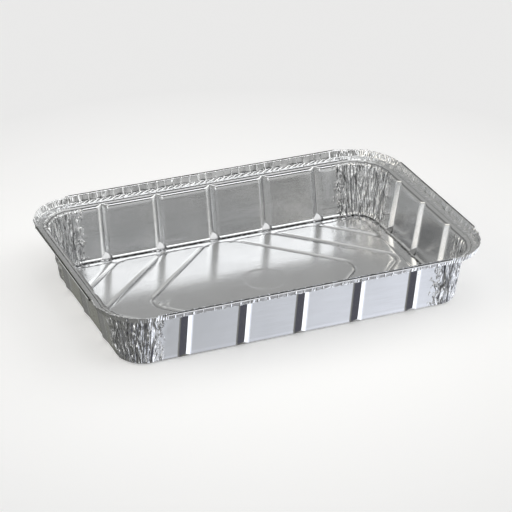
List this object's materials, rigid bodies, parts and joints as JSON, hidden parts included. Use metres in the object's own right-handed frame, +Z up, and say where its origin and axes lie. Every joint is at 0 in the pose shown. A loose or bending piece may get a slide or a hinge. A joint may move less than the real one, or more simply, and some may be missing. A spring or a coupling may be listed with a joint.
{
  "type": "foil tray",
  "caption": "Rectangular pressed aluminium foil tray with ribbed leaning walls, gathered corners, raised floor panels and a rolled rim, for baking or takeaway food.",
  "frame": {"origin": "middle of the floor's underside, level with the surface it stands on", "axes": "+X along the long side, +Y along the short side, +Z up, out of the open mouth"},
  "size_m": [0.315, 0.218, 0.0514],
  "materials": {
    "foil": "bright rolled foil, soft mirror"
  },
  "bodies": {
    "root": {"foil_tray": "foil"}
  },
  "joints": []
}
